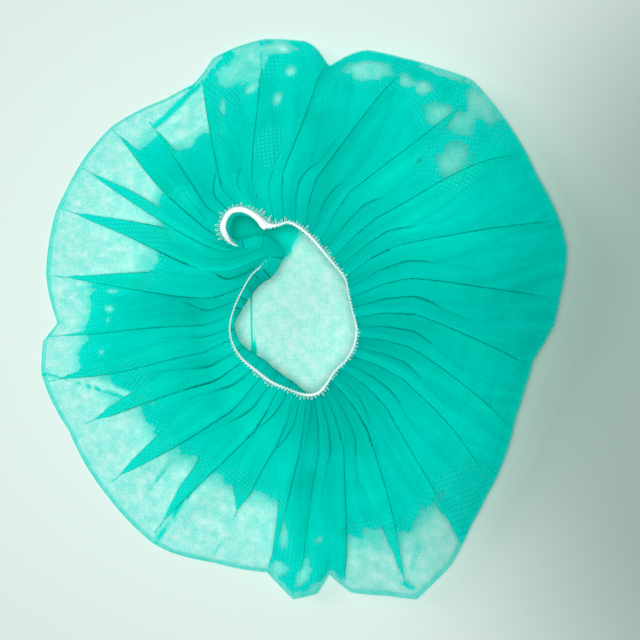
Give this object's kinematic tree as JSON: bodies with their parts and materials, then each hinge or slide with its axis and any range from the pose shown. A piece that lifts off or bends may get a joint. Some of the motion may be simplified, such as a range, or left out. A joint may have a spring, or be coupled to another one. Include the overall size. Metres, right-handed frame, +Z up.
{
  "type": "disposable hairnet",
  "caption": "Thin nonwoven bouffant cap lying crown down: a hollow gathered pouch with an open mouth, edged by a bound elastic loop that overlaps itself.",
  "frame": {"origin": "middle of the cap's box, on the surface that it lies on", "axes": "+Z up through the mouth, +Y towards the back of the picture's view (the longest side), +X to its right"},
  "size_m": [0.2943, 0.3164, 0.0525],
  "materials": {
    "cloth": "thin translucent spunbond nonwoven, teal, matt, with a fine pattern of bond points",
    "elastic": "white overlocked elastic, matt thread"
  },
  "bodies": {
    "root": {"cap_sheet": "cloth", "hem_elastic": "elastic", "elastic_overlap": "elastic"}
  },
  "joints": []
}
